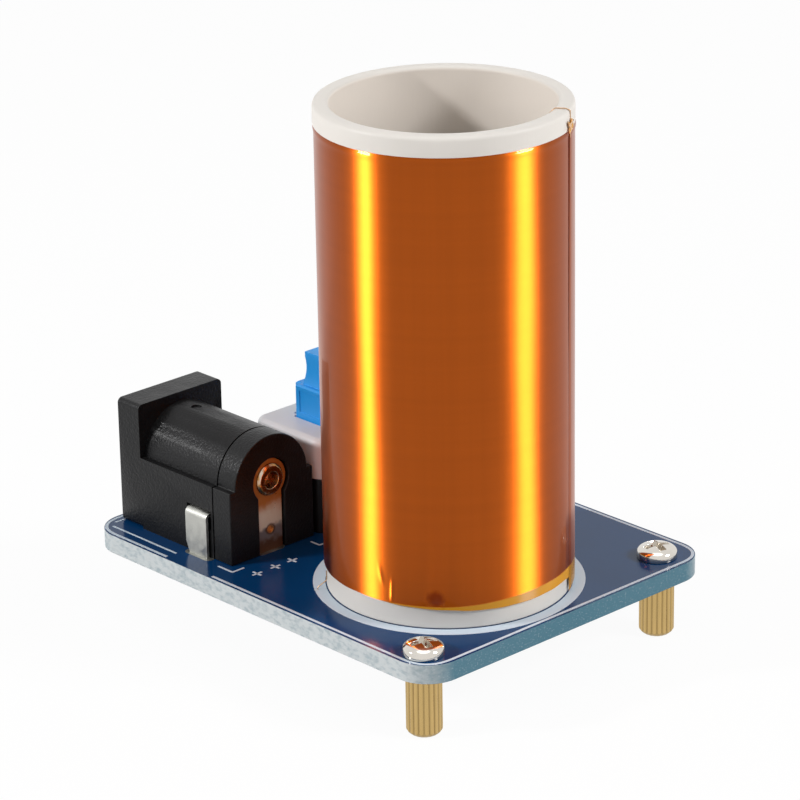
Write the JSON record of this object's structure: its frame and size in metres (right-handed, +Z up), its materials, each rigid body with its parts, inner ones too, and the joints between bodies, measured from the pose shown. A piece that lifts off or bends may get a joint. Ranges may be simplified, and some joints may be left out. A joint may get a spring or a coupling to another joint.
{
  "type": "desktop resonant transformer",
  "caption": "Small resonant transformer demonstration board: an upright taped coil on a blue circuit board, a barrel power jack, a latching push switch and knurled standoffs.",
  "frame": {"origin": "centre of the circuit board's outline, at the foot of the standoffs on the table", "axes": "+X from the power jack's mouth towards the coil, +Y across the board away from the jack, +Z up along the coil"},
  "size_m": [0.0408, 0.032, 0.0471],
  "materials": {
    "blue_board": "glossy blue solder mask over glass-fibre laminate",
    "masked_copper": "copper track under blue solder mask",
    "knurled_brass": "satin, straight knurl",
    "nickel_screws": "nickel-plated steel",
    "white_tube": "smooth off-white tube",
    "enamelled_wire": "enamelled copper wire",
    "amber_tape": "clear amber polyimide tape",
    "black_moulding": "satin black moulding",
    "tinned_contacts": "tinned sheet",
    "plated_pin": "nickel-plated turned pin",
    "white_moulding": "satin white moulding",
    "blue_button": "satin blue moulding",
    "spring_steel": "bare spring wire",
    "black_resin": "matt black moulded case",
    "ceramic": "tan ceramic chip",
    "solder": "bright solder"
  },
  "bodies": {
    "board_assembly": {"circuit_board": "blue_board", "primary_coil_track": "masked_copper", "standoffs": "knurled_brass", "standoff_screws": "nickel_screws", "coil_tube": "white_tube", "secondary_winding": "enamelled_wire", "insulating_tape": "amber_tape", "top_lead_wire": "enamelled_wire", "bottom_lead_wire": "enamelled_wire", "lead_tape_patch": "amber_tape", "jack_housing": "black_moulding", "jack_rear_cap": "black_moulding", "jack_centre_pin": "plated_pin", "jack_rear_terminal": "tinned_contacts", "jack_sleeve_spring": "tinned_contacts", "jack_side_terminal": "tinned_contacts", "switch_cover": "white_moulding", "switch_base": "white_moulding", "switch_terminals": "tinned_contacts", "switch_spring": "spring_steel", "driver_transistor": "black_resin", "transistor_leads": "tinned_contacts", "chip_resistors": "black_resin", "chip_capacitor": "ceramic", "chip_end_caps": "solder", "protection_diode": "black_resin", "diode_leads": "tinned_contacts", "solder_joints": "solder"},
    "plunger": {"switch_plunger": "blue_button", "switch_contact_bridges": "tinned_contacts"},
    "latch": {"switch_latch_wire": "spring_steel"}
  },
  "joints": [
    {"name": "button_press", "type": "slide", "parent": "board_assembly", "child": "plunger", "axis": [0, 0, -1], "range_m": [0, 0.0025], "stiffness_N_per_m": 450, "springref_m": -0.002, "deforming": ["switch_spring"]},
    {"name": "latch_swing", "type": "hinge", "parent": "board_assembly", "child": "latch", "pos_m": [-0.00916, 0.0034, 0.0086], "axis": [0, 1, 0], "range_deg": [0, 8.2]}
  ],
  "couplings": [
    {"joint": "latch_swing", "follows": "button_press", "rad_per_m": 55.85}
  ]
}
